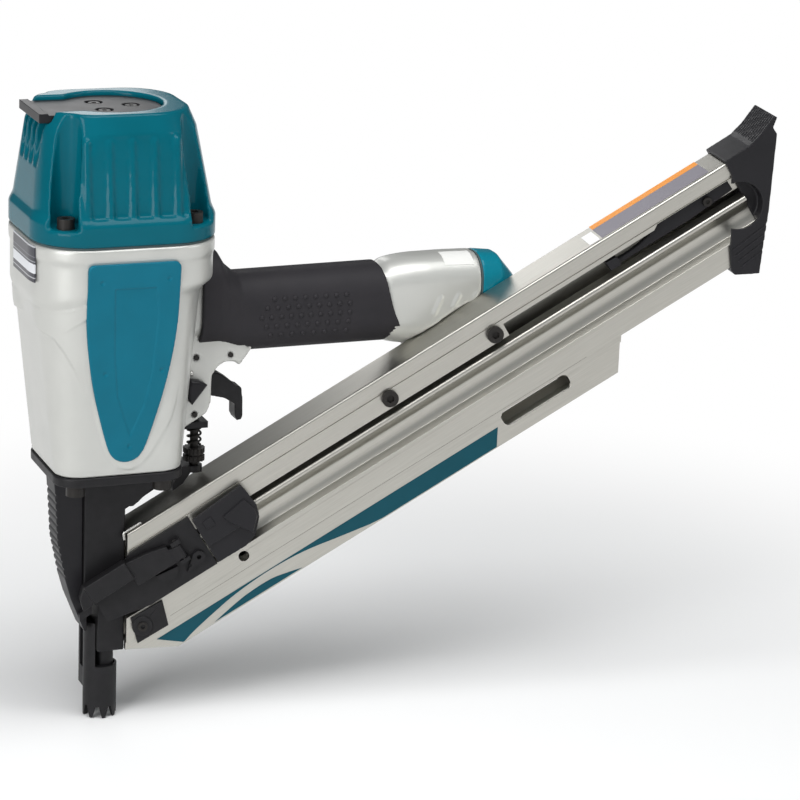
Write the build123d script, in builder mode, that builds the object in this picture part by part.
"""Pneumatic framing nailer: an air-driven nail gun with a long slanted magazine.

The origin is the nose tip on the driver's axis. +Z runs up the driver to the cylinder cap and +X runs
back along the handle. All lengths are millimetres.
"""
from build123d import *
from math import cos, radians, sin, tan
import os

os.makedirs("parts", exist_ok=True)

# Clearances
touch = 0.05            # between faces that are bolted or glued together
seat = 0.3              # between pieces of different bodies at rest
running = 0.1           # radial, of a shaft in its bore
sliding = 0.5           # between a sliding piece and its guide

# Head casting
head_shift = 1.7        # how far the head's wide end sits behind the driver's axis
seam_z = 291.0          # joint between head and cap
collar_width, collar_depth, collar_round = 108.2, 103.0, 31.0
collar_z, shoulder = 267.0, 6.0
band_height, band_proud = 9.0, 0.9      # raised band under the seam
waist_width, waist_depth, waist_round = 97.0, 97.0, 28.0
waist_shift = -1.1      # how far the waist's middle sits behind the driver's axis
foot_z = 153.0          # underside of the head
foot_width, foot_depth, foot_round = 76.0, 73.0, 14.0

# Cylinder, piston and driver
sleeve_bore, sleeve_wall = 24.9, 2.1
chamber_radius = 33.0
sleeve_bottom_z, sleeve_top_z = 160.0, 288.0
partition_z, partition_thick = 206.0, 10.0
bumper_height = 12.0
stroke = 106.0
piston_height = 9.5
blade_radius = 3.9
blade_reach = 1.0       # how far the driver stands out of the muzzle at the end of its stroke
channel_radius = 4.4

# Cap
gasket_thick = 1.0
cap_flange_height = 17.0
cap_height = 72.4       # from the gasket to its top
cap_top_width, cap_top_depth, cap_top_round = 92.0, 86.0, 32.0
cap_top_shift = 0.5
cap_chamfer_height, cap_chamfer = 11.0, 5.0
cap_roof = 24.5         # from the valve's room to the cap's top
cap_bolt_reach = 37.5   # bolt centres from the cap's middle, each way
cap_bolt_radius, cap_bolt_head, cap_bolt_head_height = 3.0, 5.0, 6.0
well_radius = 8.5
rib_radius, rib_pitch = 2.4, 13.1
deflector_radius, deflector_depth, deflector_half = 30.0, 7.0, 21.5
exhaust_screw_circle = 12.5
exhaust_screw_head, exhaust_screw_height, exhaust_screw_radius = 3.4, 2.2, 1.6
exhaust_well_radius, exhaust_well_depth = 5.0, 2.5
deflector_sink = 2.5     # how far the deflector's face lies under the cap's top

# Handle
grip_z = 237.3          # middle height of the grip
grip_core_height, grip_core_width = 42.0, 33.0
rubber = 2.3            # thickness of the grip's rubber
flare_height, flare_width = 54.0, 38.0
flare_start_x, flare_full_x, flare_end_x = 166.0, 194.0, 228.0
handle_sway = 2.5       # how far the handle's end stands off to +Y
handle_wall = 4.0
end_cap_length = 25.0

# Trigger group
ear_inner, ear_thick = 10.0, 4.0
pivot_x, pivot_z = 49.2, 193.8
selector_radius = 2.5
trigger_width = 12.0
valve_x = 62.0
valve_radius, valve_stem_radius = 5.5, 2.0
valve_top_z, valve_bottom_z = 232.0, 207.0

# Contact arm
rod_x, rod_radius = 54.0, 2.5
contact_stroke = 8.0     # travel of the contact foot against the work
adjust_travel = 2.5
dial_z, dial_height, dial_radius = 147.0, 8.0, 6.5
guide_z, guide_thick = 168.5, 4.0
contact_tip_z = -7.5     # points of the contact foot's teeth
contact_radius, contact_bore = 10.0, 6.6
contact_shift = -2.4
contact_tube_top = 25.0
nose_tip_radius = 5.9

# Nose
flange_thick = 5.5
column_front_x, column_half = -16.0, 12.0
column_bottom_z = 36.0
nose_tip_z = 0.0         # muzzle of the driver channel
nose_bolt_x, nose_bolt_y, nose_bolt_radius = 26.0, 27.0, 2.5
nose_bolt_head, nose_bolt_head_height = 5.5, 7.0
foot_clear_x, foot_clear_z = -7.2, 66.0   # room of the contact foot in front of the column
nail_slot_half, nail_slot_top = 2.8, 108.0
nail_head_room = 15.0    # height of the slot's wide top, where the nail heads pass

# Magazine
magazine_pitch, magazine_yaw = 31.25, 7.5
magazine_top_z = 103.3  # height of the magazine's top face at the driver's axis
magazine_front_x = 9.0
magazine_half = 15.0
rail_wall = 2.6
rail_edge = 1.6         # rounding of the magazine's top edges
rail_end = 430.0        # length of the rail from the driver's axis
groove_top, groove_bottom = -20.4, -24.2
window_top, window_rear_top = -12.3, -9.9
window_start, window_end, window_step = 266.0, 400.0, 372.0
flange_top, flange_bottom = -45.5, -58.6
plate_bottom = -79.3
plate_half, plate_wall = 12.2, 2.2
channel_half = 4.5
plate_end_x = 304.0
plate_level_z = 36.5


# Derived places
column_rear_x = magazine_front_x - touch
flange_z = foot_z - touch - flange_thick
floor_z = sleeve_bottom_z
piston_bottom_z = sleeve_bottom_z + bumper_height + seat + stroke
piston_top_z = piston_bottom_z + piston_height
blade_tip_z = nose_tip_z + stroke - blade_reach
gasket_z = seam_z + touch
cap_z = gasket_z + gasket_thick + touch
cap_top_z = cap_z + cap_height
pitch, yaw = radians(magazine_pitch), radians(magazine_yaw)
along = Vector(cos(pitch) * cos(yaw), -cos(pitch) * sin(yaw), sin(pitch))
outward = Vector(-sin(yaw), -cos(yaw), 0)


# Planes and plain shapes

def side_plane(y):
    """Upright plane facing -Y: local x is X and local y is Z."""
    return Plane(origin=(0, y, 0), x_dir=(1, 0, 0), z_dir=(0, -1, 0))


def cross_plane(x, y, z):
    """Plane across the handle: local x is Y and local y is Z."""
    return Plane(origin=(x, y, z), x_dir=(0, 1, 0), z_dir=(1, 0, 0))


def rail_side(n):
    """Plane along the magazine, n from its middle: local x runs along it and local y is up."""
    middle = Vector(0, 0, magazine_top_z)
    return Plane(origin=middle + outward * n, x_dir=along, z_dir=outward)


def rail_section(s):
    """Plane across the magazine at s: local x points to its near side and local y is up."""
    middle = Vector(0, 0, magazine_top_z)
    return Plane(origin=middle + along * s, x_dir=outward, z_dir=along * -1)


def frustum(low_z, low, high_z, high):
    """Tapering block between two rounded rectangles (width, depth, corner, shift)."""
    with BuildPart() as block:
        for z, (width, depth, corner, shift) in ((low_z, low), (high_z, high)):
            with BuildSketch(Plane.XY.offset(z)):
                with Locations((shift, 0)):
                    RectangleRounded(width, depth, corner)
        loft(ruled=True)
    return block.part


def handle_run(stations):
    """Tube-like run through (x, side, middle height, height, width) stations."""
    with BuildPart() as run:
        for x, side, middle, height, width in stations:
            with BuildSketch(cross_plane(x, side, middle)):
                RectangleRounded(width, height, width * 0.42)
        loft(ruled=True)
    return run.part


def post(x, y, low, high, radius):
    """Upright cylinder."""
    with BuildPart() as shaft:
        with BuildSketch(Plane.XY.offset(low)):
            with Locations((x, y)):
                Circle(radius)
        extrude(amount=high - low)
    return shaft.part


def pipe(x, y, low, high, outer, inner):
    """Upright tube."""
    with BuildPart() as tube:
        with BuildSketch(Plane.XY.offset(low)):
            with Locations((x, y)):
                Circle(outer)
                Circle(inner, mode=Mode.SUBTRACT)
        extrude(amount=high - low)
    return tube.part


def bar(start, axis, length, radius):
    """Round bar from a point along an axis."""
    with BuildPart() as rod:
        with BuildSketch(Plane(origin=start, z_dir=axis)):
            Circle(radius)
        extrude(amount=length)
    return rod.part


def side_slab(points, y, thick):
    """Slab of an outline in X and Z, from y towards -Y."""
    with BuildPart() as slab:
        with BuildSketch(side_plane(y)):
            Polygon(*points, align=None)
        extrude(amount=thick)
    return slab.part


def rail_slab(points, n, thick):
    """Slab of an outline along the magazine, from n outward."""
    with BuildPart() as slab:
        with BuildSketch(rail_side(n)):
            Polygon(*points, align=None)
        extrude(amount=thick)
    return slab.part


def block(low, high):
    """Box between two corners."""
    middle = tuple((a + b) / 2 for a, b in zip(low, high))
    with BuildPart() as solid:
        with Locations(middle):
            Box(*(b - a for a, b in zip(low, high)))
    return solid.part


def cap_screw(x, y, seat_z, head_radius, head_height, radius, length, up=1):
    """Socket-head screw: its head stands on seat_z and its shank runs the other way."""
    with BuildPart() as screw:
        with BuildSketch(Plane(origin=(x, y, seat_z), z_dir=(0, 0, up))):
            Circle(head_radius)
        extrude(amount=head_height)
        with BuildSketch(Plane(origin=(x, y, seat_z), z_dir=(0, 0, -up))):
            Circle(radius)
        extrude(amount=length)
        with BuildSketch(Plane(origin=(x, y, seat_z + up * head_height), z_dir=(0, 0, -up))):
            RegularPolygon(head_radius * 0.5, 6)
        extrude(amount=head_height * 0.6, mode=Mode.SUBTRACT)
    return screw.part


# ---------------------------------------------------------------- head and handle casting

waist = (waist_width, waist_depth, waist_round, waist_shift)
foot = (foot_width, foot_depth, foot_round, 0)
collar = (collar_width - 2 * band_proud, collar_depth - 2 * band_proud, collar_round - band_proud, head_shift)
band = (collar_width, collar_depth, collar_round, head_shift)

neck_core = [
    (30, 0, 247, 50, 39),
    (61, 0, 247, 49, 38),
    (76, 0, grip_z, grip_core_height, grip_core_width),
    (flare_start_x, handle_sway * 0.6, grip_z + 0.4, grip_core_height + 1, grip_core_width),
]
# the casting swells out of the grip in a dome, then tapers a little to its end
flare_core = []
for step in range(7):
    swell = (1 - (1 - step / 6) ** 2) ** 0.5
    flare_core.append((flare_start_x + (flare_full_x - flare_start_x) * step / 6,
                       handle_sway * (0.6 + 0.2 * step / 6), grip_z + 0.4,
                       grip_core_height + 1 + (flare_height - grip_core_height - 1) * swell,
                       grip_core_width + (flare_width - grip_core_width) * swell))
flare_core += [
    (flare_full_x + 16, handle_sway, grip_z + 0.8, flare_height - 0.6, flare_width - 1),
    (flare_end_x, handle_sway, grip_z + 1.4, flare_height - 2.4, flare_width - 1.5),
]
ear_outline = [
    (34, 219.5), (84.7, 217.6), (76.8, 206.9), (73.6, 209.5), (68, 209.9), (63.4, 207.1),
    (60, 201.9), (59.7, 186), (57.3, 179.5), (50.8, 175.3), (41.1, 169.8), (34, 168.5),
]
pin_places = [(50, 213.7), (70.9, 214.1), (49.5, 179)]
pin_radius = 1.5
handle_foot_outline = [(176, -23.5), (226, -23.5), (232, -3.5), (196, -3.5), (176, -9)]
foot_arm_thick = 9.0
foot_bolt_radius = 2.0
rail_bolts = [(185.7, -14.1), (258.6, -14.8)]
foot_bolt_places = [(185.7, -14.1), (206, -14.1)]

# Room that the handle's end leaves for the magazine beside it
magazine_room = rail_slab([(120, -90), (330, -90), (330, seat), (120, seat)], -magazine_half - touch, 60)

# Outer form of the casting, before it is hollowed
with BuildPart() as casting_form:
    add(frustum(foot_z, foot, collar_z - shoulder, waist))
    add(frustum(collar_z - shoulder, waist, collar_z, collar))
    add(frustum(collar_z, collar, seam_z - band_height, collar))
    add(frustum(seam_z - band_height, collar, seam_z - band_height + band_proud, band))
    add(frustum(seam_z - band_height + band_proud, band, seam_z, band))
    add(handle_run(neck_core))
    add(handle_run(flare_core))

with BuildPart() as housing:
    add(casting_form.part)
    # ears that carry the trigger, and the boss that holds its valve
    for y in (-ear_inner, ear_inner + ear_thick):
        add(side_slab(ear_outline, y, ear_thick))
    add(side_slab([(34, 224), (80, 224), (80, 217), (34, 217)], ear_inner + ear_thick, 2 * (ear_inner + ear_thick)))
    add(post(valve_x, 0, 212, 225, valve_radius + 3))
    # foot under the flare, which carries the magazine's far side
    add(rail_slab(handle_foot_outline, -magazine_half - touch - foot_arm_thick, foot_arm_thick))
    for s, u in foot_bolt_places:
        with BuildSketch(rail_side(-magazine_half - foot_arm_thick - 1)):
            with Locations((s, u)):
                Circle(foot_bolt_radius + touch)
        extrude(amount=foot_arm_thick + 2, mode=Mode.SUBTRACT)
    # the magazine passes beside the flare
    add(magazine_room, mode=Mode.SUBTRACT)
    # air chamber round the cylinder, with a partition that the cylinder is sealed in
    add(post(0, 0, floor_z, seam_z, chamber_radius), mode=Mode.SUBTRACT)
    add(pipe(0, 0, partition_z - partition_thick / 2, partition_z + partition_thick / 2,
             chamber_radius + 1, sleeve_bore + sleeve_wall + seat))
    add(post(0, 0, foot_z, floor_z, 14), mode=Mode.SUBTRACT)
    # air reservoir in the handle
    hollow = [(x, side, middle, height - 2 * handle_wall, width - 2 * handle_wall)
              for x, side, middle, height, width in neck_core]
    add(handle_run(hollow), mode=Mode.SUBTRACT)
    hollow = [(x, side, middle, height - 2 * handle_wall, width - 2 * handle_wall)
              for x, side, middle, height, width in flare_core]
    add(handle_run(hollow), mode=Mode.SUBTRACT)
    # seats of the valve, the pins, the selector's shaft and the screws
    add(post(valve_x, 0, 200, 245, valve_radius + touch), mode=Mode.SUBTRACT)
    for x, z in pin_places:
        add(bar((x, -40, z), (0, 1, 0), 80, pin_radius + touch), mode=Mode.SUBTRACT)
    add(bar((pivot_x, -40, pivot_z), (0, 1, 0), 80, selector_radius + running), mode=Mode.SUBTRACT)
    for side_x in (-1, 1):
        for side_y in (-1, 1):
            add(post(head_shift + side_x * cap_bolt_reach, side_y * cap_bolt_reach, seam_z - 16, seam_z,
                     cap_bolt_radius + touch), mode=Mode.SUBTRACT)
            add(post(side_x * nose_bolt_x, side_y * nose_bolt_y, foot_z, foot_z + 5, nose_bolt_radius + touch),
                mode=Mode.SUBTRACT)
housing.part.label = "housing"
export_step(housing.part, "parts/housing.step")


# ---------------------------------------------------------------- cylinder, piston and driver

with BuildPart() as cylinder_sleeve:
    add(pipe(0, 0, sleeve_bottom_z + touch, sleeve_top_z, sleeve_bore + sleeve_wall, sleeve_bore))
    # return-air holes near the lower end
    with BuildSketch(Plane.XZ):
        with Locations((0, sleeve_bottom_z + 24)):
            Circle(2)
    extrude(amount=40, both=True, mode=Mode.SUBTRACT)
cylinder_sleeve.part.label = "cylinder_sleeve"
export_step(cylinder_sleeve.part, "parts/cylinder_sleeve.step")

seal_height = 4.0
with BuildPart() as cylinder_seal:
    add(pipe(0, 0, partition_z - seal_height / 2, partition_z + seal_height / 2,
             sleeve_bore + sleeve_wall + seat - touch, sleeve_bore + sleeve_wall + touch))
cylinder_seal.part.label = "cylinder_seal"
export_step(cylinder_seal.part, "parts/cylinder_seal.step")

bumper_bore = 9.0
with BuildPart() as bumper:
    add(pipe(0, 0, floor_z + touch, floor_z + bumper_height, sleeve_bore - seat, bumper_bore))
    chamfer(bumper.faces().sort_by(Axis.Z)[-1].outer_wire().edges(), 3)
bumper.part.label = "bumper"
export_step(bumper.part, "parts/bumper.step")

ring_groove_z = piston_bottom_z + piston_height / 2
ring_height, ring_depth = 3.0, 2.2
with BuildPart() as piston:
    add(post(0, 0, piston_bottom_z, piston_top_z, sleeve_bore - seat))
    add(pipe(0, 0, ring_groove_z - ring_height / 2, ring_groove_z + ring_height / 2,
             sleeve_bore + 1, sleeve_bore - seat - ring_depth), mode=Mode.SUBTRACT)
    add(pipe(0, 0, piston_top_z - 4, piston_top_z, 19, 8), mode=Mode.SUBTRACT)
    add(post(0, 0, piston_bottom_z, piston_top_z - 2, blade_radius + touch), mode=Mode.SUBTRACT)
piston.part.label = "piston"
export_step(piston.part, "parts/piston.step")

with BuildPart() as piston_ring:
    add(pipe(0, 0, ring_groove_z - ring_height / 2 + touch, ring_groove_z + ring_height / 2 - touch,
             sleeve_bore - running, sleeve_bore - seat - ring_depth + touch))
piston_ring.part.label = "piston_ring"
export_step(piston_ring.part, "parts/piston_ring.step")

with BuildPart() as driver_blade:
    add(post(0, 0, blade_tip_z, piston_top_z - 2 - touch, blade_radius))
    # flat on the front of the lower shank
    add(block((-blade_radius - 1, -5, blade_tip_z - 1), (-blade_radius + 1.2, 5, piston_bottom_z - 20)),
        mode=Mode.SUBTRACT)
driver_blade.part.label = "driver_blade"
export_step(driver_blade.part, "parts/driver_blade.step")


# ---------------------------------------------------------------- cap, head valve and exhaust

cap_flange_top = cap_z + cap_flange_height
cap_body = (collar_width - 4.5, collar_depth - 7, collar_round - 3, head_shift)   # just above its flange
cap_top = (cap_top_width, cap_top_depth, cap_top_round, cap_top_shift)
cap_inner_radius, cap_inner_top = 36.0, cap_top_z - cap_roof
valve_guide_radius, valve_guide_bottom = 15.0, cap_z + 8.5
exhaust_bore = 10.0
lip_x = cap_top_shift - cap_top_width / 2 - 1.5
louvre_top = cap_top_z - deflector_depth + 0.5
well_floor_z = cap_flange_top - 8
cap_shoulder_z = cap_top_z - cap_chamfer_height
panel_half, panel_depth = 30.0, 1.5
panel_top_z = cap_shoulder_z + 0.5
rib_length = cap_shoulder_z - cap_flange_top + 2.5
deflector_top_z = cap_top_z - deflector_sink
exhaust_seat_z = deflector_top_z - exhaust_well_depth
exhaust_screw_places = [(exhaust_screw_circle * cos(radians(turn)), exhaust_screw_circle * sin(radians(turn)))
                        for turn in (0, 120, 240)]

with BuildPart() as cylinder_cap:
    with BuildSketch(Plane.XY.offset(cap_z)):
        with Locations((head_shift, 0)):
            RectangleRounded(collar_width, collar_depth, collar_round)
    extrude(amount=cap_flange_height - 5)
    add(frustum(cap_z + cap_flange_height - 5, (collar_width, collar_depth, collar_round, head_shift),
                cap_flange_top, cap_body))
    add(frustum(cap_flange_top, cap_body, cap_shoulder_z, cap_top))
    add(frustum(cap_shoulder_z, cap_top, cap_top_z,
                (cap_top_width - 2 * cap_chamfer, cap_top_depth - 2 * cap_chamfer, cap_top_round - cap_chamfer,
                 cap_top_shift)))
    # recessed panel with five ribs on each side
    for side in (-1, 1):
        low_y, high_y = side * cap_body[1] / 2, side * cap_top_depth / 2
        with BuildSketch(Plane.YZ.offset(head_shift - panel_half)):
            Polygon((low_y - side * panel_depth, cap_flange_top - 2), (low_y + side * 6, cap_flange_top - 2),
                    (high_y + side * 6, panel_top_z), (high_y - side * (panel_depth - 1), panel_top_z), align=None)
        extrude(amount=2 * panel_half, mode=Mode.SUBTRACT)
        for i in range(5):
            x = head_shift - 1 + (i - 2) * rib_pitch
            lean = (cap_body[1] - cap_top_depth) / 2 / (cap_shoulder_z - cap_flange_top)
            start = (x, side * (cap_body[1] / 2 - rib_radius * 0.55), cap_flange_top - 6)
            rib = Vector(0, -side * lean, 1)
            add(bar(start, rib, rib_length, rib_radius))
            with Locations(Vector(start) + rib.normalized() * rib_length):
                Sphere(rib_radius)
    # wells down to the four cap bolts
    for side_x in (-1, 1):
        for side_y in (-1, 1):
            x, y = head_shift + side_x * cap_bolt_reach, side_y * cap_bolt_reach
            add(post(x, y, well_floor_z, cap_top_z + 1, well_radius), mode=Mode.SUBTRACT)
            mouth = block((min(x, x + side_x * 8) - 5, min(y, y + side_y * 25), well_floor_z),
                          (max(x, x + side_x * 8) + 5, max(y, y + side_y * 25), cap_top_z + 1))
            add(mouth, mode=Mode.SUBTRACT)
            add(post(x, y, cap_z, well_floor_z, cap_bolt_radius + touch), mode=Mode.SUBTRACT)
    # room for the head valve, round a guide post with the exhaust passage in it
    add(pipe(0, 0, cap_z, cap_inner_top, cap_inner_radius, valve_guide_radius), mode=Mode.SUBTRACT)
    add(post(0, 0, cap_z, valve_guide_bottom, cap_inner_radius), mode=Mode.SUBTRACT)
    add(post(0, 0, valve_guide_bottom, cap_top_z - deflector_depth, exhaust_bore), mode=Mode.SUBTRACT)
    # seat of the deflector, open to the front
    add(post(0, 0, cap_top_z - deflector_depth, cap_top_z + 1, deflector_radius), mode=Mode.SUBTRACT)
    add(block((-60, -deflector_half - sliding, cap_top_z - deflector_depth),
              (-4, deflector_half + sliding, cap_top_z + 1)), mode=Mode.SUBTRACT)
    # exhaust louvres between fins on the front
    for i in range(4):
        y = -18.5 + i * 9.5
        with BuildSketch(side_plane(y + 7)):
            Polygon((-60, louvre_top), (-38, louvre_top), (-47.4, louvre_top - 26), (-60, louvre_top - 26), align=None)
        extrude(amount=7, mode=Mode.SUBTRACT)
    for x, y in exhaust_screw_places:
        add(post(x, y, cap_top_z - deflector_depth - 8, cap_top_z, exhaust_screw_radius + touch),
            mode=Mode.SUBTRACT)
cylinder_cap.part.label = "cylinder_cap"
export_step(cylinder_cap.part, "parts/cylinder_cap.step")

with BuildPart() as cap_gasket:
    with BuildSketch(Plane.XY.offset(gasket_z)):
        with Locations((head_shift, 0)):
            RectangleRounded(collar_width - 2, collar_depth - 2, collar_round - 1)
        Circle(cap_inner_radius + 1, mode=Mode.SUBTRACT)
        with Locations([(head_shift + a * cap_bolt_reach, b * cap_bolt_reach)
                        for a in (-1, 1) for b in (-1, 1)]):
            Circle(cap_bolt_radius + touch, mode=Mode.SUBTRACT)
    extrude(amount=gasket_thick)
cap_gasket.part.label = "cap_gasket"
export_step(cap_gasket.part, "parts/cap_gasket.step")

with BuildPart() as cap_bolts:
    for side_x in (-1, 1):
        for side_y in (-1, 1):
            add(cap_screw(head_shift + side_x * cap_bolt_reach, side_y * cap_bolt_reach, well_floor_z + touch,
                          cap_bolt_head, cap_bolt_head_height, cap_bolt_radius, well_floor_z - seam_z + 14))
cap_bolts.part.label = "cap_bolts"
export_step(cap_bolts.part, "parts/cap_bolts.step")

valve_height = 14.0
valve_inner = valve_guide_radius + seat
head_valve_z = sleeve_top_z + seat
with BuildPart() as head_valve:
    # skirt that seats on the cylinder, and the crown that slides on the cap's guide post
    add(pipe(0, 0, head_valve_z, head_valve_z + 8, 30, 21))
    add(pipe(0, 0, head_valve_z + 8, head_valve_z + 8 + valve_height, cap_inner_radius - 1.5, valve_inner))
    add(pipe(0, 0, head_valve_z + 12, head_valve_z + 8 + valve_height, 30, 20), mode=Mode.SUBTRACT)
head_valve.part.label = "head_valve"
export_step(head_valve.part, "parts/head_valve.step")

spring_wire = 2.6
valve_spring_low = head_valve_z + 12 + seat
with BuildPart() as head_valve_spring:
    add(pipe(0, 0, valve_spring_low, cap_inner_top - seat, 26, 26 - spring_wire))
head_valve_spring.part.label = "head_valve_spring"
export_step(head_valve_spring.part, "parts/head_valve_spring.step")

with BuildPart() as exhaust_deflector:
    add(post(0, 0, cap_top_z - deflector_depth + touch, deflector_top_z, deflector_radius - sliding))
    add(block((lip_x, -deflector_half, cap_top_z - deflector_depth + touch),
              (-6, deflector_half, deflector_top_z)))
    # lip that turns the exhaust down through the louvres
    add(block((lip_x, -deflector_half, cap_top_z - deflector_depth + touch),
              (lip_x + 5, deflector_half, cap_top_z - 1.5)))
    # gallery from the exhaust bore to the louvres under the lip
    add(block((lip_x + 3, -deflector_half + 4.5, cap_top_z - deflector_depth),
              (8, deflector_half - 4.5, cap_top_z - deflector_depth + 2.2)), mode=Mode.SUBTRACT)
    # bosses with sunk screw seats
    for x, y in exhaust_screw_places:
        add(post(x, y, cap_top_z - deflector_depth + touch, deflector_top_z, exhaust_well_radius + 1))
        add(post(x, y, exhaust_seat_z, cap_top_z, exhaust_well_radius), mode=Mode.SUBTRACT)
        add(post(x, y, cap_top_z - deflector_depth, cap_top_z, exhaust_screw_radius + touch), mode=Mode.SUBTRACT)
exhaust_deflector.part.label = "exhaust_deflector"
export_step(exhaust_deflector.part, "parts/exhaust_deflector.step")

with BuildPart() as exhaust_screws:
    for x, y in exhaust_screw_places:
        add(cap_screw(x, y, exhaust_seat_z + touch, exhaust_screw_head, exhaust_screw_height,
                      exhaust_screw_radius, 10))
exhaust_screws.part.label = "exhaust_screws"
export_step(exhaust_screws.part, "parts/exhaust_screws.step")


# ---------------------------------------------------------------- side pads and plate

pad_low_z = foot_z + 11
pad_proud, pad_low_proud = 2.0, 1.4     # how far it stands off the collar and off the foot of the head
pad_low_y = foot_depth / 2 + (waist_depth - foot_depth) / 2 * (pad_low_z - foot_z) / (collar_z - shoulder - foot_z)
pad_low_y += pad_low_proud
pad_lean = (collar_depth / 2 + pad_proud - pad_low_y) / (seam_z - band_height - pad_low_z)
pad_top, pad_half, pad_bottom = seam_z - 7.5 - pad_low_z, 27.0, -2.2
pad_middle = 0.4
pad_panel_depth, pad_dimple_radius = 0.5, 1.3
pad_dimples = [(-18.5, 109), (20.6, 109.5), (-14.3, 53.6), (19, 53.8), (2, 7.6)]


def pad_outline():
    """Shield shape of the side pad in its own plane."""
    with BuildSketch() as shield:
        with BuildLine():
            Polyline((pad_middle, pad_bottom), (pad_middle, pad_top), (pad_middle + pad_half, pad_top),
                     (pad_middle + pad_half, 95))
            Spline((pad_middle + pad_half, 95), (pad_middle + 23.3, 55), (pad_middle + 12.8, 12),
                   (pad_middle, pad_bottom), tangents=((0, -1), (-1, 0)))
        make_face()
        mirror(about=Plane(origin=(pad_middle, 0, 0), z_dir=(1, 0, 0)))
        fillet(shield.vertices().group_by(Axis.Y)[-1], 4)
    return shield.sketch


def side_pad(side):
    """Moulded pad that hugs the head's side; side is -1 near and 1 far."""
    plane = Plane(origin=(0, side * pad_low_y, pad_low_z), x_dir=(-side, 0, 0),
                  z_dir=(0, side, -pad_lean))
    with BuildPart() as pad:
        with BuildSketch(plane):
            add(pad_outline() if side < 0 else mirror(pad_outline(), about=Plane.YZ, mode=Mode.PRIVATE))
        extrude(amount=-9)
        add(casting_form.part, mode=Mode.SUBTRACT)
        # shallow panel in its face, and the heads of its moulding pins
        with BuildSketch(plane):
            with BuildLine():
                Polyline((2, 13), (9.8, 32.4), (13.7, 52.7), (15.6, 88.2), (13.7, 104.9), (-11, 105),
                         (-9.5, 64.6), (-6.7, 38.9), close=True)
            make_face()
            with Locations(pad_dimples):
                Circle(pad_dimple_radius)
        extrude(amount=-pad_panel_depth, mode=Mode.SUBTRACT)
    return pad.solids().sort_by(SortBy.VOLUME)[-1]


with BuildPart() as side_pad_left:
    add(side_pad(-1))
side_pad_left.part.label = "side_pad_left"
export_step(side_pad_left.part, "parts/side_pad_left.step")

with BuildPart() as side_pad_right:
    add(side_pad(1))
side_pad_right.part.label = "side_pad_right"
export_step(side_pad_right.part, "parts/side_pad_right.step")

plate_thick = 0.8
with BuildPart() as rating_plate:
    with BuildSketch(Plane.XY.offset(collar_z + 2)):
        with Locations((head_shift, 0)):
            RectangleRounded(collar_width + 2 * plate_thick, collar_depth + 2 * plate_thick,
                             collar_round + plate_thick)
            RectangleRounded(collar_width + 2 * touch, collar_depth + 2 * touch, collar_round + touch,
                             mode=Mode.SUBTRACT)
        with Locations((60, 0)):
            Rectangle(180, 200, mode=Mode.SUBTRACT)
        with Locations((-60, 40), (-60, -60)):
            Rectangle(80, 60, mode=Mode.SUBTRACT)
    extrude(amount=21)
rating_plate.part.label = "rating_plate"
export_step(rating_plate.part, "parts/rating_plate.step")


# ---------------------------------------------------------------- grip and handle end

boot = [
    (44, 0, 247.6, 57.5, 45),
    (63, 0, 247.4, 56.5, 44),
    (68, 0, 242.5, 50, 41),
    (76, 0, grip_z, grip_core_height + 2 * rubber, grip_core_width + 2 * rubber),
    (186, handle_sway * 0.6, grip_z + 0.4, grip_core_height + 1 + 2 * rubber, grip_core_width + 2 * rubber),
]
with BuildPart() as grip_sleeve:
    add(handle_run(boot))
    add(casting_form.part, mode=Mode.SUBTRACT)
    # S-shaped rear edge, longer below
    with BuildSketch(side_plane(60)):
        with BuildLine():
            Polyline((184, 205), (230, 205), (230, 280), (165, 280), (165.5, 262))
            Spline((165.5, 262), (171, 238), (184, 212), tangents=((0.2, -1), (0.6, -1)))
            Line((184, 212), (184, 205))
        make_face()
    extrude(amount=120, mode=Mode.SUBTRACT)
    add(block((0, -30, 200), (collar_width / 2 + head_shift - 5, 30, 300)), mode=Mode.SUBTRACT)
    add(side_slab(ear_outline, ear_inner + ear_thick + touch, 2 * (ear_inner + ear_thick + touch)),
        mode=Mode.SUBTRACT)
    add(side_slab([(34, 224), (80, 224), (80, 217), (34, 217)], ear_inner + ear_thick + touch,
                  2 * (ear_inner + ear_thick + touch)), mode=Mode.SUBTRACT)
    add(grip_sleeve.solids().sort_by(SortBy.VOLUME)[-1], mode=Mode.REPLACE)
grip_sleeve.part.label = "grip_sleeve"
export_step(grip_sleeve.part, "parts/grip_sleeve.step")

end_gasket_thick = 1.0
end_height, end_width = flare_height - 2.4, flare_width - 1.5
end_z = grip_z + 1.4
cap_start_x = flare_end_x + touch + end_gasket_thick + touch
with BuildPart() as end_gasket:
    with BuildSketch(cross_plane(flare_end_x + touch, handle_sway, end_z)):
        RectangleRounded(end_width - 0.6, end_height - 0.6, (end_width - 0.6) * 0.42)
        RectangleRounded(end_width - 2 * handle_wall, end_height - 2 * handle_wall,
                         (end_width - 2 * handle_wall) * 0.42, mode=Mode.SUBTRACT)
    extrude(amount=end_gasket_thick)
    add(magazine_room, mode=Mode.SUBTRACT)
end_gasket.part.label = "end_gasket"
export_step(end_gasket.part, "parts/end_gasket.step")

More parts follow.
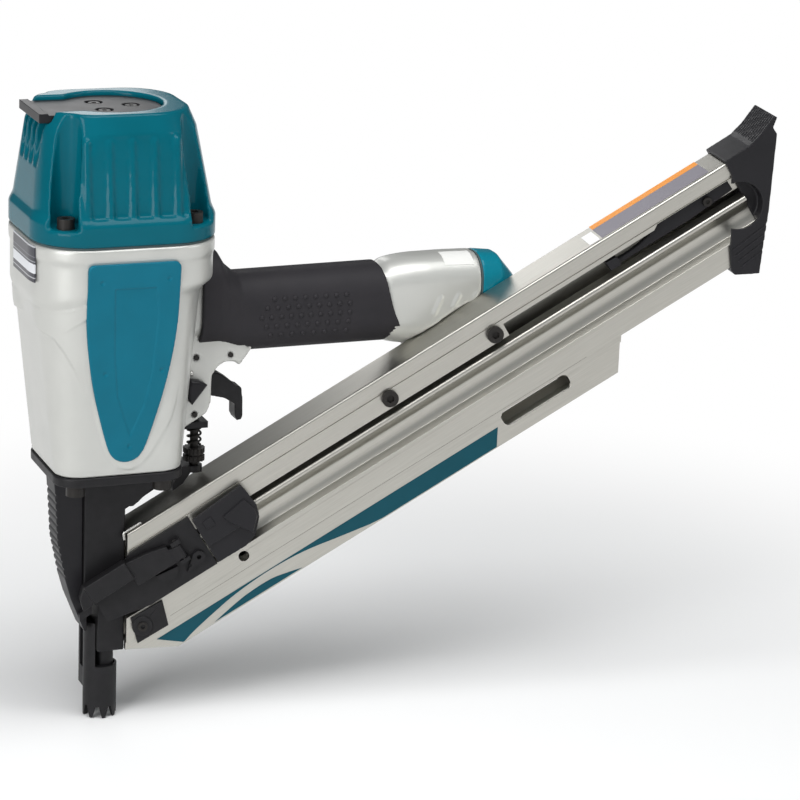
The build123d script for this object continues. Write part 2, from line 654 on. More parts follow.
plug_radius, plug_bore = 6.5, 3.5
end_cap_x = flare_end_x + end_cap_length
plug_z = end_z - 1
with BuildPart() as handle_end_cap:
    add(handle_run([
        (cap_start_x, handle_sway, end_z, end_height, end_width),
        (flare_end_x + 14, handle_sway, end_z - 0.2, end_height - 2.4, end_width - 1.5),
        (flare_end_x + 21, handle_sway, end_z - 1, end_height - 17, end_width - 6),
        (end_cap_x, handle_sway, end_z - 1, end_height - 26, end_width - 12),
    ]))
    add(handle_run([
        (cap_start_x, handle_sway, end_z, end_height - 2 * handle_wall, end_width - 2 * handle_wall),
        (flare_end_x + 12, handle_sway, end_z, end_height - 3 * handle_wall, end_width - 2 * handle_wall),
    ]), mode=Mode.SUBTRACT)
    add(bar((flare_end_x + 5, handle_sway, plug_z), (1, 0, 0), 30, plug_radius + touch), mode=Mode.SUBTRACT)
    add(magazine_room, mode=Mode.SUBTRACT)
handle_end_cap.part.label = "handle_end_cap"
export_step(handle_end_cap.part, "parts/handle_end_cap.step")

hex_length, hex_radius = 8.0, 8.0
nipple_length, nipple_radius = 24.0, 5.9
nipple_neck, nipple_nose = 4.6, 3.95
with BuildPart() as air_plug:
    add(bar((flare_end_x + 8, handle_sway, plug_z), (1, 0, 0), end_cap_length - 8, plug_radius))
    with BuildSketch(Plane(origin=(end_cap_x + touch, handle_sway, plug_z), z_dir=(1, 0, 0))):
        RegularPolygon(hex_radius, 6)
    extrude(amount=hex_length)
    add(bar((end_cap_x, handle_sway, plug_z), (1, 0, 0), hex_length + 8, nipple_radius))
    add(bar((end_cap_x, handle_sway, plug_z), (1, 0, 0), hex_length + 11, nipple_neck))
    add(bar((end_cap_x + hex_length + 11, handle_sway, plug_z), (1, 0, 0), 5, nipple_radius))
    add(bar((end_cap_x + hex_length + 16, handle_sway, plug_z), (1, 0, 0), nipple_length - 16, nipple_nose))
    add(bar((flare_end_x, handle_sway, plug_z), (1, 0, 0), 80, 2.6), mode=Mode.SUBTRACT)
air_plug.part.label = "air_plug"
export_step(air_plug.part, "parts/air_plug.step")

with BuildPart() as air_filter:
    filter_start = (flare_end_x - 14, handle_sway, plug_z)
    add(bar(filter_start, (1, 0, 0), 22 - touch, plug_radius))
    add(bar(filter_start, (1, 0, 0), 30, 2.6), mode=Mode.SUBTRACT)
air_filter.part.label = "air_filter"
export_step(air_filter.part, "parts/air_filter.step")


# ---------------------------------------------------------------- trigger group

with BuildPart() as bracket_pins:
    for x, z in pin_places:
        add(bar((x, -ear_inner - ear_thick - 0.6, z), (0, 1, 0), 2 * (ear_inner + ear_thick + 0.6), pin_radius))
bracket_pins.part.label = "bracket_pins"
export_step(bracket_pins.part, "parts/bracket_pins.step")

hub_radius = 5.4
with BuildPart() as trigger:
    with BuildSketch(side_plane(trigger_width / 2)):
        with BuildLine():
            Polyline((49.2, 199), (58, 201.8), (66.6, 200.9), (73.4, 196.3), (77.9, 192.4), (80.9, 191.2),
                     (81.9, 183.6), (82.2, 173.6), (81.0, 171.1), (78.6, 171.0), (77.2, 173.6), (77.0, 181.2),
                     (70.6, 185.2), (62, 187.4), (49.2, 188.5), close=True)
        make_face()
        with Locations((pivot_x, pivot_z)):
            Circle(hub_radius)
            Circle(selector_radius + running, mode=Mode.SUBTRACT)
    extrude(amount=trigger_width)
    # hollow underside of the trigger's arm
    with BuildSketch(side_plane(trigger_width / 2 - 2)):
        Polygon((57, 199), (66, 197.6), (76, 191), (76, 186), (72, 188), (57, 190), align=None)
    extrude(amount=trigger_width - 4, mode=Mode.SUBTRACT)
trigger.part.label = "trigger"
export_step(trigger.part, "parts/trigger.step")

with BuildPart() as trigger_valve_sleeve:
    add(pipe(valve_x, 0, valve_bottom_z, valve_top_z, valve_radius, valve_stem_radius + running))
    add(post(valve_x, 0, valve_bottom_z + 6, valve_top_z - 5, 4), mode=Mode.SUBTRACT)
trigger_valve_sleeve.part.label = "trigger_valve_sleeve"
export_step(trigger_valve_sleeve.part, "parts/trigger_valve_sleeve.step")

stem_bottom_z = 202.1
with BuildPart() as trigger_valve_stem:
    add(post(valve_x, 0, stem_bottom_z, valve_top_z + 2, valve_stem_radius))
    add(post(valve_x, 0, valve_top_z - 12, valve_top_z - 10, 3.6))
trigger_valve_stem.part.label = "trigger_valve_stem"
export_step(trigger_valve_stem.part, "parts/trigger_valve_stem.step")

with BuildPart() as trigger_valve_spring:
    add(pipe(valve_x, 0, valve_top_z - 10 + seat, valve_top_z - 5 - 0.1, 3.5, 2.4))
trigger_valve_spring.part.label = "trigger_valve_spring"
export_step(trigger_valve_spring.part, "parts/trigger_valve_spring.step")

ear_face = ear_inner + ear_thick
knob_height = 7.0
with BuildPart() as mode_selector:
    add(bar((pivot_x, -ear_face - seat - 1, pivot_z), (0, 1, 0), 2 * ear_face + seat + 3, selector_radius))
    with BuildSketch(side_plane(-ear_face - seat)):
        with Locations((pivot_x, pivot_z)):
            Polygon((6, 4.8), (1.1, 7.4), (-4.4, 8.1), (-6.2, 4.6), (-6.2, -1.5), (-5, -4.8), (-3.2, -6.8),
                    align=None)
    extrude(amount=knob_height)
    chamfer(mode_selector.faces().sort_by(Axis.Y)[0].edges(), 1.2)
mode_selector.part.label = "mode_selector"
export_step(mode_selector.part, "parts/mode_selector.step")

with BuildPart() as selector_clip:
    with BuildSketch(side_plane(ear_face + seat + 1)):
        with Locations((pivot_x, pivot_z)):
            Circle(4.5)
            Circle(selector_radius + touch, mode=Mode.SUBTRACT)
    extrude(amount=1)
selector_clip.part.label = "selector_clip"
export_step(selector_clip.part, "parts/selector_clip.step")

with BuildPart() as detent_ball:
    with Locations((46.4, -ear_face - 1.6 - touch, 204.8)):
        Sphere(1.6)
detent_ball.part.label = "detent_ball"
export_step(detent_ball.part, "parts/detent_ball.step")


# ---------------------------------------------------------------- nose

guide_half = 9.5
gusset_end_x, gusset_low_z = 35.0, 120.0
with BuildPart() as nose_casting:
    with BuildSketch(Plane.XY.offset(flange_z)):
        RectangleRounded(foot_width + 1, foot_depth + 1, foot_round)
    extrude(amount=flange_thick)
    add(block((column_front_x, -column_half, column_bottom_z), (column_rear_x, column_half, flange_z + 1)))
    add(pipe(0, 0, nose_tip_z, column_bottom_z + 2, nose_tip_radius, channel_radius))
    # gussets under the flange
    for y in (-column_half, column_half - 4):
        add(side_slab([(column_rear_x - 1, flange_z + 1), (gusset_end_x, flange_z + 1),
                       (gusset_end_x, flange_z - 4), (column_rear_x - 1, gusset_low_z)], y + 4, 4))
    # spigot in the head's floor
    add(post(0, 0, foot_z - 1, floor_z - touch, 14 - touch))
    # driver channel, and the slot that the nails come in by
    add(post(0, 0, nose_tip_z - 1, floor_z + 1, channel_radius), mode=Mode.SUBTRACT)
    add(block((0, -nail_slot_half, nose_tip_z + 12), (30, nail_slot_half, nail_slot_top)), mode=Mode.SUBTRACT)
    add(block((0, -channel_radius, nail_slot_top - nail_head_room), (30, channel_radius, nail_slot_top)),
        mode=Mode.SUBTRACT)
    # pad for the magazine's side cover
    with BuildSketch(rail_side(column_half - 2)):
        Polygon((-24, -25), (2, -25), (2, -40), (-24, -40), align=None)
    extrude(amount=magazine_half - column_half + 2 - touch)
    add(block((column_rear_x, -40, 0), (80, 0, 125)), mode=Mode.SUBTRACT)
    # the lower column is set back for the contact foot
    add(block((column_front_x - 1, -40, column_bottom_z - 1), (foot_clear_x, 40, foot_clear_z)), mode=Mode.SUBTRACT)
    for side_x in (-1, 1):
        for side_y in (-1, 1):
            add(post(side_x * nose_bolt_x, side_y * nose_bolt_y, flange_z - 1, foot_z + 1,
                     nose_bolt_radius + touch), mode=Mode.SUBTRACT)
nose_casting.part.label = "nose_casting"
export_step(nose_casting.part, "parts/nose_casting.step")

with BuildPart() as nose_bolts:
    for side_x in (-1, 1):
        for side_y in (-1, 1):
            add(cap_screw(side_x * nose_bolt_x, side_y * nose_bolt_y, flange_z - touch, nose_bolt_head,
                          nose_bolt_head_height, nose_bolt_radius, flange_thick + 5, up=-1))
nose_bolts.part.label = "nose_bolts"
export_step(nose_bolts.part, "parts/nose_bolts.step")

guide_front = [(-34, flange_z - touch), (-33.2, 138), (-31.5, 106), (-27, 83.5), (-23.2, 70), (-14.8, 49)]
guide_toe_x = contact_shift - contact_radius - 0.8
with BuildPart() as nose_guide:
    add(side_slab(guide_front + [(guide_toe_x, 49), (guide_toe_x, 64), (column_front_x - touch, 66),
                                 (column_front_x - touch, flange_z - touch)], guide_half, 2 * guide_half))
    add(block((column_front_x - touch, -20, 66), (0, 20, flange_z)), mode=Mode.SUBTRACT)
    # ribs across the front face
    for i in range(12):
        z = 84 + i * 4.6
        x = -27 - (z - 84) * 0.2 if z < 106 else -31.5 - (z - 106) * 0.053
        add(bar((x - 0.4, -guide_half - 1, z), (0, 1, 0), 2 * guide_half + 2, 1.1), mode=Mode.SUBTRACT)
nose_guide.part.label = "nose_guide"
export_step(nose_guide.part, "parts/nose_guide.step")

with BuildPart() as latch_catch:
    add(rail_slab([(-38.5, -31.5), (-30, -31), (-27.5, -26.5), (-31.5, -26.3), (-36.5, -27)], guide_half - 3.5, 9))
    add(casting_form.part, mode=Mode.SUBTRACT)
    add(post(contact_shift, 0, contact_tip_z, foot_clear_z, contact_radius + sliding), mode=Mode.SUBTRACT)
    add(nose_guide.part, mode=Mode.SUBTRACT)
    add(nose_casting.part, mode=Mode.SUBTRACT)
latch_catch.part.label = "latch_catch"
export_step(latch_catch.part, "parts/latch_catch.step")


# ---------------------------------------------------------------- contact arm

shell_top = foot_clear_z - contact_stroke - adjust_travel - 3
boss_radius, boss_height = 5.0, 4.0
tooth_count, tooth_height = 8, 7.0
boss_z = dial_z - adjust_travel - seat - boss_height
slope = tan(pitch) / cos(yaw)
arm_side_y, arm_side_thick = column_half + sliding, 3.0


def above_rail(x, clear):
    """Height that clears the magazine's top face at x."""
    return magazine_top_z + slope * x + clear


with BuildPart() as contact_foot:
    # tube round the nose tip, and the half shell above it that is open to the nose column
    add(post(contact_shift, 0, contact_tip_z, shell_top, contact_radius))
    add(block((foot_clear_x - sliding, -20, contact_tube_top), (40, 20, 60)), mode=Mode.SUBTRACT)
    # teeth
    for i in range(tooth_count):
        turn = radians(22 + i * 360 / tooth_count)
        with BuildSketch(Plane(origin=(contact_shift, 0, contact_tip_z), x_dir=(-sin(turn), cos(turn), 0),
                               z_dir=(cos(turn), sin(turn), 0))):
            Polygon((-3.1, -1), (3.1, -1), (0.9, tooth_height), (-0.9, tooth_height), align=None)
        extrude(amount=20, mode=Mode.SUBTRACT)
    # arm up the far side of the nose
    add(block((-11, contact_bore - 0.5, 8), (-2, arm_side_y + arm_side_thick, 20)))
    add(block((-11, arm_side_y, 8), (-2, arm_side_y + arm_side_thick, 112)))
    add(post(0, 0, contact_tip_z - 1, 60, contact_bore), mode=Mode.SUBTRACT)
    # arm over the magazine to the rod
    add(side_slab([(-11, 100), (-2, above_rail(-2, 2)), (44, above_rail(44, 2)), (44, above_rail(44, 5.5)),
                   (-11, 112)], arm_side_y + arm_side_thick, arm_side_thick))
    add(side_slab([(40, above_rail(40, 2)), (46, above_rail(46, 2)), (51, boss_z), (58, boss_z),
                   (58, boss_z + boss_height), (46, boss_z + boss_height), (40, above_rail(40, 5.5))],
                  arm_side_y + arm_side_thick, arm_side_y + arm_side_thick + boss_radius - 1))
    add(block((52, 4, boss_z - 1), (60, 20, boss_z + boss_height + 1)), mode=Mode.SUBTRACT)
    add(post(rod_x, 0, boss_z, boss_z + boss_height, boss_radius))
    add(post(rod_x, 0, boss_z - 5, boss_z + boss_height + 5, rod_radius + running), mode=Mode.SUBTRACT)
contact_foot.part.label = "contact_foot"
export_step(contact_foot.part, "parts/contact_foot.step")

rod_top_z = guide_z + guide_thick + 2.5
with BuildPart() as contact_rod:
    add(post(rod_x, 0, boss_z - 0.5, rod_top_z, rod_radius))
contact_rod.part.label = "contact_rod"
export_step(contact_rod.part, "parts/contact_rod.step")

with BuildPart() as depth_dial:
    with BuildSketch(Plane.XY.offset(dial_z)):
        with Locations((rod_x, 0)):
            Circle(dial_radius)
        for i in range(16):
            angle = radians(i * 22.5)
            with Locations((rod_x + dial_radius * cos(angle), dial_radius * sin(angle))):
                Circle(0.8, mode=Mode.SUBTRACT)
        with Locations((rod_x, 0)):
            Circle(rod_radius + running, mode=Mode.SUBTRACT)
    extrude(amount=dial_height)
    add(pipe(rod_x, 0, dial_z + dial_height * 0.4, dial_z + dial_height * 0.6, dial_radius + 1, dial_radius - 1.4),
        mode=Mode.SUBTRACT)
depth_dial.part.label = "depth_dial"
export_step(depth_dial.part, "parts/depth_dial.step")

with BuildPart() as contact_spring:
    add(pipe(rod_x, 0, dial_z + dial_height + seat, guide_z - seat, 4.6, 3.1))
contact_spring.part.label = "contact_spring"
export_step(contact_spring.part, "parts/contact_spring.step")

with BuildPart() as rod_guide:
    add(block((36, -8, guide_z - 4), (43.5, 8, guide_z + guide_thick + 4)))
    add(block((40, -8, guide_z), (rod_x + 6, 8, guide_z + guide_thick)))
    add(casting_form.part, mode=Mode.SUBTRACT)
    add(post(rod_x, 0, guide_z - 1, guide_z + guide_thick + 1, rod_radius + running), mode=Mode.SUBTRACT)
rod_guide.part.label = "rod_guide"
export_step(rod_guide.part, "parts/rod_guide.step")


# ---------------------------------------------------------------- magazine

trim = block((-200, -150, -50), (magazine_front_x, 150, 400))     # what lies in front of the magazine
below = block((-200, -200, -200), (500, 200, plate_level_z))
tail_high_u, tail_low_s = -46.0, 421.5      # slanted end of the rails inside the end cap
tail = rail_slab([(rail_end, tail_high_u), (rail_end + 60, tail_high_u), (rail_end + 60, flange_bottom - 1),
                  (tail_low_s, flange_bottom - 1), (tail_low_s, flange_bottom)], -30, 60)
head_room = -2.2
rib_thick = 2.0
stop_s, stop_u, stop_pin_radius = 408.7, -15.7, 2.0

with BuildPart() as magazine_rail:
    with BuildSketch(rail_section(rail_end)) as section:
        with BuildLine():
            Polyline((-magazine_half, flange_bottom), (-magazine_half, 0), (magazine_half, 0),
                     (magazine_half, -8.4), (magazine_half - 0.7, -8.6), (magazine_half - 0.7, -9.5),
                     (magazine_half, -9.7), (magazine_half, groove_top), (channel_half, groove_top),
                     (channel_half, head_room), (-channel_half, head_room), (-channel_half, flange_bottom),
                     close=True)
        make_face()
        fillet(section.vertices().group_by(Axis.Y)[-1], rail_edge)
        # hollow of the near upper wall and of the far wall
        for low, high, inner, outer in (
                (groove_top + 2, head_room - 1.2, channel_half + rib_thick, magazine_half - rail_wall),
                (-26, head_room - 1.2, -magazine_half + rail_wall, -channel_half - rib_thick),
                (flange_bottom + 2, -28, -magazine_half + rail_wall, -channel_half - rib_thick)):
            with Locations(((inner + outer) / 2, (low + high) / 2)):
                Rectangle(outer - inner, high - low, mode=Mode.SUBTRACT)
    extrude(amount=rail_end + 60)
    add(trim, mode=Mode.SUBTRACT)
    add(tail, mode=Mode.SUBTRACT)
    # loading window on the near side; the inner wall stays whole behind the nail stop's screw
    add(rail_slab([(window_start, groove_top - 1), (rail_end + 1, groove_top - 1), (rail_end + 1, window_top),
                   (window_start, window_top)], channel_half + rib_thick, magazine_half), mode=Mode.SUBTRACT)
    add(rail_slab([(window_start, groove_top - 1), (window_end, groove_top - 1), (window_end, window_top),
                   (window_start, window_top)], 0, magazine_half), mode=Mode.SUBTRACT)
    add(rail_slab([(window_step, window_top - 1), (rail_end + 1, window_top - 1), (rail_end + 1, window_rear_top),
                   (window_step + 3.5, window_rear_top), (window_step, window_top)],
                  magazine_half - rail_wall, rail_wall), mode=Mode.SUBTRACT)
    for n, places in ((-magazine_half - 1, foot_bolt_places), (magazine_half - rail_wall - 1, rail_bolts)):
        with BuildSketch(rail_side(n)):
            with Locations(places):
                Circle(foot_bolt_radius + touch)
        extrude(amount=rail_wall + 2, mode=Mode.SUBTRACT)
    with BuildSketch(rail_side(0)):
        with Locations((stop_s, stop_u)):
            Circle(stop_pin_radius + touch)
    extrude(amount=channel_half + rib_thick + 1, mode=Mode.SUBTRACT)
magazine_rail.part.label = "magazine_rail"
export_step(magazine_rail.part, "parts/magazine_rail.step")

with BuildPart() as magazine_side_rail:
    with BuildSketch(rail_section(rail_end)):
        with BuildLine():
            Polyline((channel_half, groove_bottom), (magazine_half - 1.5, groove_bottom))
            ThreePointArc((magazine_half - 1.5, groove_bottom), (magazine_half, groove_bottom - 1.7),
                          (magazine_half - 1.2, groove_bottom - 3.6))
            Line((magazine_half - 1.2, groove_bottom - 3.6), (9.2, -32.4))
            ThreePointArc((9.2, -32.4), (8.5, -37.5), (10.2, -43))
            Polyline((10.2, -43), (magazine_half, flange_top), (magazine_half, flange_bottom),
                     (channel_half, flange_bottom), (channel_half, groove_bottom))
        make_face()
        with Locations(((channel_half + magazine_half) / 2, (flange_top + flange_bottom) / 2 - 0.5)):
            Rectangle(magazine_half - channel_half - 4, 8, mode=Mode.SUBTRACT)
        with Locations((9.3, -27.6)):
            Rectangle(5.4, 3.4, mode=Mode.SUBTRACT)
    extrude(amount=rail_end + 60)
    add(trim, mode=Mode.SUBTRACT)
    add(tail, mode=Mode.SUBTRACT)
    with BuildSketch(rail_side(channel_half)):
        with Locations((63.6, -51)):
            Circle(3.2)
    extrude(amount=20, mode=Mode.SUBTRACT)
magazine_side_rail.part.label = "magazine_side_rail"
export_step(magazine_side_rail.part, "parts/magazine_side_rail.step")

slot_start, slot_end, slot_high, slot_low = 237.5, 284.5, -60.9, -71.2
plate_top = flange_bottom - touch
with BuildPart() as magazine_lower_plate:
    with BuildSketch(rail_section(rail_end)):
        Polygon((-plate_half, plate_top), (-plate_half, plate_bottom), (plate_half, plate_bottom),
                (plate_half, plate_top - 4.2), (plate_half + 1.2, plate_top - 4.2), (plate_half + 1.2, plate_top),
                (plate_half - plate_wall, plate_top), (plate_half - plate_wall, plate_bottom + plate_wall),
                (-plate_half + plate_wall, plate_bottom + plate_wall), (-plate_half + plate_wall, plate_top),
                align=None)
    extrude(amount=rail_end + 80)
    add(trim, mode=Mode.SUBTRACT)
    add(below, mode=Mode.SUBTRACT)
    add(block((plate_end_x, -200, 0), (600, 200, 500)), mode=Mode.SUBTRACT)
    with BuildSketch(rail_side(-30)):
        with Locations(((slot_start + slot_end) / 2, (slot_high + slot_low) / 2)):
            RectangleRounded(slot_end - slot_start, slot_high - slot_low, 4)
    extrude(amount=60, mode=Mode.SUBTRACT)
magazine_lower_plate.part.label = "magazine_lower_plate"
export_step(magazine_lower_plate.part, "parts/magazine_lower_plate.step")

cap_half = magazine_half + 2.3
end_profile = [
    (428.3, 2.0), (446, 2.2), (455, 4.6), (467.5, 10.0), (468.6, 8.4), (463.5, 4.2), (464, -0.5), (439, -38.5),
    (415.5, -71), (402, -63.5), (401.2, -60.3), (407, -46.5), (409.5, -43.5), (428.3, -8),
]
with BuildPart() as magazine_end_cap:
    add(rail_slab(end_profile, -cap_half, 2 * cap_half))
    add(rail_slab([(390, touch), (rail_end + touch, touch), (rail_end + touch, tail_high_u - touch),
                   (tail_low_s + touch, flange_bottom - touch), (390, flange_bottom - touch)],
                  -magazine_half - touch, 2 * (magazine_half + touch)), mode=Mode.SUBTRACT)
    # round finger notch in the near side
    with BuildSketch(rail_side(magazine_half - 6)):
        with Locations((424, -27)):
            Circle(14.5)
    extrude(amount=20, mode=Mode.SUBTRACT)
    # ridges for the thumb on the ramp and on the foot
    for i in range(11):
        add(rail_slab([(449, 1.3), (455, 3.3), (469, 9.0), (470, 14), (449, 14)], (i - 5) * 2.9 - 0.55, 1.1),
            mode=Mode.SUBTRACT)
    for u in (-49.5, -53.5, -57.5, -61.5):
        add(rail_slab([(407, u), (436, u + 3), (436, u + 4.3), (407, u + 1.3)], cap_half - 0.8, 2),
            mode=Mode.SUBTRACT)
magazine_end_cap.part.label = "magazine_end_cap"
export_step(magazine_end_cap.part, "parts/magazine_end_cap.step")

with BuildPart() as end_cap_screws:
    for s, u in ((418, -52), (434, -4)):
        with BuildSketch(rail_side(-cap_half - touch)):
            with Locations((s, u)):
                Circle(3.2)
        extrude(amount=-1.8)
end_cap_screws.part.label = "end_cap_screws"
export_step(end_cap_screws.part, "parts/end_cap_screws.step")


def rail_screw(s, u, n, direction, head_radius, head_height, radius, length):
    """Socket-head screw across the magazine: its head stands on n and direction is where the head points."""
    base = rail_side(n)
    with BuildPart() as screw:
        with BuildSketch(base):
            with Locations((s, u)):
                Circle(head_radius)
        extrude(amount=direction * head_height)
        with BuildSketch(base):
            with Locations((s, u)):
                Circle(radius)
        extrude(amount=-direction * length)
        with BuildSketch(rail_side(n + direction * head_height)):
            with Locations((s, u)):
                RegularPolygon(head_radius * 0.5, 6)
        extrude(amount=-direction * head_height * 0.6, mode=Mode.SUBTRACT)
    return screw.part


rail_bolt_head = 5.0
with BuildPart() as magazine_bolts:
    for s, u in rail_bolts:
        add(rail_screw(s, u, magazine_half + touch, 1, rail_bolt_head, 3, 2, 5))
magazine_bolts.part.label = "magazine_bolts"
export_step(magazine_bolts.part, "parts/magazine_bolts.step")

foot_face = magazine_half + touch + foot_arm_thick
with BuildPart() as foot_bolts:
    for s, u in foot_bolt_places:
        add(rail_screw(s, u, -foot_face - touch, -1, 3.6, 3, foot_bolt_radius, foot_arm_thick + 2))
foot_bolts.part.label = "foot_bolts"
export_step(foot_bolts.part, "parts/foot_bolts.step")


# ---------------------------------------------------------------- front of the magazine

cover_face = magazine_half + 2.0
cover_end = 48.0
hinge_s, hinge_n, hinge_radius = 33.5, magazine_half + 4.6, 1.25
hinge_top, hinge_bottom = -17.0, -32.0
lever_top, lever_bottom = -20.2, -29.4
with BuildPart() as magazine_side_cover:
    add(rail_slab([(-24.5, -24.5), (8, -10.6), (cover_end, -10.6), (cover_end, -45.3), (2, -45.3),
                   (-24.5, -40)], magazine_half + touch, cover_face - magazine_half - touch))
    # knuckles of the latch
    for low, high in ((hinge_bottom, lever_bottom - seat), (lever_top + seat, hinge_top)):
        add(rail_slab([(hinge_s - 3, low), (hinge_s + 3, low), (hinge_s + 3, high), (hinge_s - 3, high)],
                      cover_face - 0.5, hinge_n + 2.4 - cover_face + 0.5))
    # lug beside the hinge
    with BuildSketch(rail_side(cover_face - 0.5)):
        Polygon((30.5, -39.2), (39.6, -38.2), (43.5, -32), (38.6, -31.2), align=None)
        with Locations((41, -34.6)):
            Circle(3.8)
            Circle(1.4, mode=Mode.SUBTRACT)
    extrude(amount=3)
    # catch under the lever's rear block
    add(rail_slab([(13.5, -30.6), (27.5, -32.4), (25.5, -36), (21.5, -38), (15.5, -35.6)], cover_face - 0.5, 3.2))
    with BuildSketch(Plane(origin=rail_side(hinge_n).from_local_coords((hinge_s, hinge_bottom - 5, 0)),
                           z_dir=rail_side(0).y_dir)):
        Circle(hinge_radius + touch)
    extrude(amount=30, mode=Mode.SUBTRACT)
magazine_side_cover.part.label = "magazine_side_cover"
export_step(magazine_side_cover.part, "parts/magazine_side_cover.step")

with BuildPart() as latch_pin:
    with BuildSketch(Plane(origin=rail_side(hinge_n).from_local_coords((hinge_s, hinge_bottom, 0)),
                           z_dir=rail_side(0).y_dir)):
        Circle(hinge_radius)
    extrude(amount=hinge_top - hinge_bottom)
latch_pin.part.label = "latch_pin"
export_step(latch_pin.part, "parts/latch_pin.step")

lever_face = cover_face + seat
hook_face = column_half + 2.5
with BuildPart() as latch_lever:
    # front block, with the hook that wraps round the nose
    add(rail_slab([(-25.2, -11), (2.6, -10.8), (2.6, -23), (-25.2, -23.4)], lever_face, 7.2))
    add(rail_slab([(-33.2, -24.6), (-31, -17), (-25.1, -11), (-25.1, -24)], hook_face, lever_face + 5 - hook_face))
    # rear block and its hinge eye
    add(rail_slab([(2, -12.6), (16, -14.3), (28, -17.2), (28, lever_bottom), (2, -29)], lever_face, 4.6))
    add(rail_slab([(27, lever_bottom), (hinge_s, lever_bottom), (hinge_s, lever_top), (27, lever_top)],
                  lever_face, 4.3))
    with BuildSketch(Plane(origin=rail_side(hinge_n).from_local_coords((hinge_s, lever_bottom, 0)),
                           z_dir=rail_side(0).y_dir)):
        Circle(hinge_radius + 1)
    extrude(amount=lever_top - lever_bottom)
    with BuildSketch(Plane(origin=rail_side(hinge_n).from_local_coords((hinge_s, lever_bottom - 1, 0)),
                           z_dir=rail_side(0).y_dir)):
        Circle(hinge_radius + running)
    extrude(amount=lever_top - lever_bottom + 2, mode=Mode.SUBTRACT)
latch_lever.part.label = "latch_lever"
export_step(latch_lever.part, "parts/latch_lever.step")

clamp_place, clamp_thick = (-9.0, -53.9), 1.8
with BuildPart() as front_clamp:
    add(rail_slab([(-12.5, -46.2), (9, -46.9), (4.2, -62.4), (-17, -62)], magazine_half + touch, clamp_thick))
    add(trim, mode=Mode.SUBTRACT)
    with BuildSketch(rail_side(magazine_half)):
        with Locations(clamp_place):
            Circle(1.5 + touch)
    extrude(amount=5, mode=Mode.SUBTRACT)
front_clamp.part.label = "front_clamp"
export_step(front_clamp.part, "parts/front_clamp.step")

with BuildPart() as clamp_screw:
    add(rail_screw(*clamp_place, magazine_half + touch + clamp_thick + touch, 1, 2.9, 1.8, 1.5, clamp_thick - 0.1))
clamp_screw.part.label = "clamp_screw"
export_step(clamp_screw.part, "parts/clamp_screw.step")

with BuildPart() as wire_clip:
    top = rail_side(magazine_half - rail_edge)
    points = [top.from_local_coords(p) for p in ((23, 1.1, 0), (10.8, 1.1, 0), (9.4, -2.6, 0.6))]
    with BuildLine():
        FilletPolyline(*points, radius=1.6)
    with BuildSketch(Plane(origin=points[0], z_dir=points[1] - points[0])):
        Circle(0.8)
    sweep()
wire_clip.part.label = "wire_clip"
export_step(wire_clip.part, "parts/wire_clip.step")


# ---------------------------------------------------------------- pusher and nail stop

knob_start, knob_end = 48.8, 86.0
axle_radius = 2.2
roll_s, roll_u, roll_radius = 66.0, -37.2, 5.0
with BuildPart() as pusher:
    # knob in the hollow of the side rail
    add(rail_slab([(knob_start, -33), (knob_start, -42), (70, -42), (77, -41), (84, -33)],
                  magazine_half - 4.3, 8.3))
    add(rail_slab([(knob_start, -21), (knob_start, -44.4), (68, -44.6), (76, -42), (84.5, -31.5), (knob_end, -25.5),
                   (85.5, -21)], magazine_half + seat, 3.7))
    # thumb rest that stands clear of the screws on the rail
    add(rail_slab([(knob_start, -12), (84, -9.2), (85, -14), (85.5, -21.2), (knob_start, -21.2)],
                  magazine_half + 3.6, 2.6))
    add(rail_slab([(knob_start, -21.5), (85.5, -21.5), (86, -25), (84, -31.5), (knob_start, -31.5)],
                  magazine_half + 3.6, 2.6))
    # web through the groove and the finger behind the nails
    add(rail_slab([(56, groove_top - 0.5), (78, groove_top - 0.5), (78, groove_bottom + 0.5),
                   (56, groove_bottom + 0.5)], 0, magazine_half + 1))
    add(rail_slab([(12, -5), (74, -5), (52, -41), (-9.9, -41)], -channel_half + 1.1, 2 * (channel_half - 1.1)))
    # pocket of the spring roll
    with BuildSketch(rail_side(magazine_half - 3.2)):
        with Locations((roll_s, roll_u)):
            Circle(roll_radius + seat)
    extrude(amount=6, mode=Mode.SUBTRACT)
pusher.part.label = "pusher"
export_step(pusher.part, "parts/pusher.step")

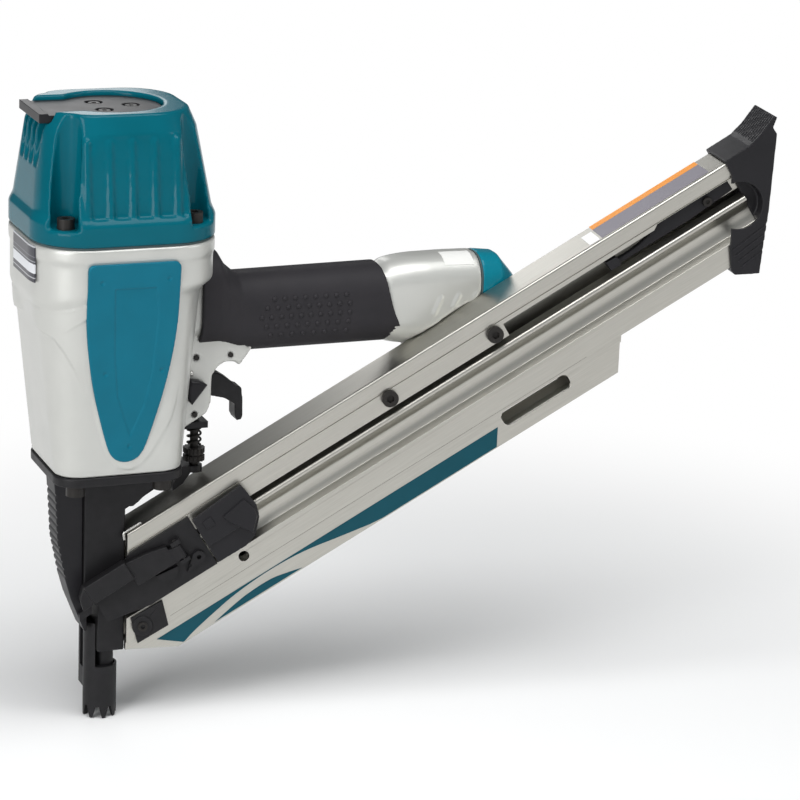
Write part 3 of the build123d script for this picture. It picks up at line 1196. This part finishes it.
with BuildPart() as pusher_spring:
    with BuildSketch(rail_side(magazine_half - 3.2 + seat)):
        with Locations((roll_s, roll_u)):
            Circle(roll_radius)
            Circle(axle_radius + seat, mode=Mode.SUBTRACT)
    extrude(amount=5)
pusher_spring.part.label = "pusher_spring"
export_step(pusher_spring.part, "parts/pusher_spring.step")

with BuildPart() as pusher_axle:
    with BuildSketch(rail_side(magazine_half - 3.2)):
        with Locations((roll_s, roll_u)):
            Circle(axle_radius)
    extrude(amount=6 - touch)
pusher_axle.part.label = "pusher_axle"
export_step(pusher_axle.part, "parts/pusher_axle.step")

stop_n, stop_thick, stop_stub_radius = 7.4, 4.0, 1.8
with BuildPart() as nail_stop:
    with BuildSketch(rail_side(stop_n)):
        Polygon((337.5, -14), (344.8, -14.4), (345.5, -16.8), (353, -17), (361, -16.2), (367.5, -14.6),
                (373.5, -12.9), (378, -10.4), (395, -10.3), (401, -8.8), (425, -7), (426, -18), (395, -20.1),
                (338, -20.1), align=None)
    extrude(amount=stop_thick)
    # tip that stands in the nails' way on the inside and is a button on the outside
    add(rail_slab([(337.5, -14), (344.8, -14.4), (345.5, -20.1), (338, -20.1)], channel_half - seat,
                  magazine_half - channel_half))
    with BuildSketch(rail_side(0)):
        with Locations((stop_s, stop_u)):
            Circle(stop_pin_radius + seat)
    extrude(amount=20, mode=Mode.SUBTRACT)
    # stubs of the pin that it rocks on, above and below the lever
    for low in (-3.6, 6.0):
        stub = rail_side(stop_n + stop_thick / 2).from_local_coords((stop_s, stop_u + low, 0))
        add(bar(stub, rail_side(0).y_dir, 1, stop_stub_radius))
nail_stop.part.label = "nail_stop"
export_step(nail_stop.part, "parts/nail_stop.step")

with BuildPart() as nail_stop_screw:
    add(rail_screw(stop_s, stop_u, stop_n + stop_thick + seat, 1, 2.8, 1.6, stop_pin_radius,
                   stop_n + stop_thick + seat - channel_half - touch))
nail_stop_screw.part.label = "nail_stop_screw"
export_step(nail_stop_screw.part, "parts/nail_stop_screw.step")
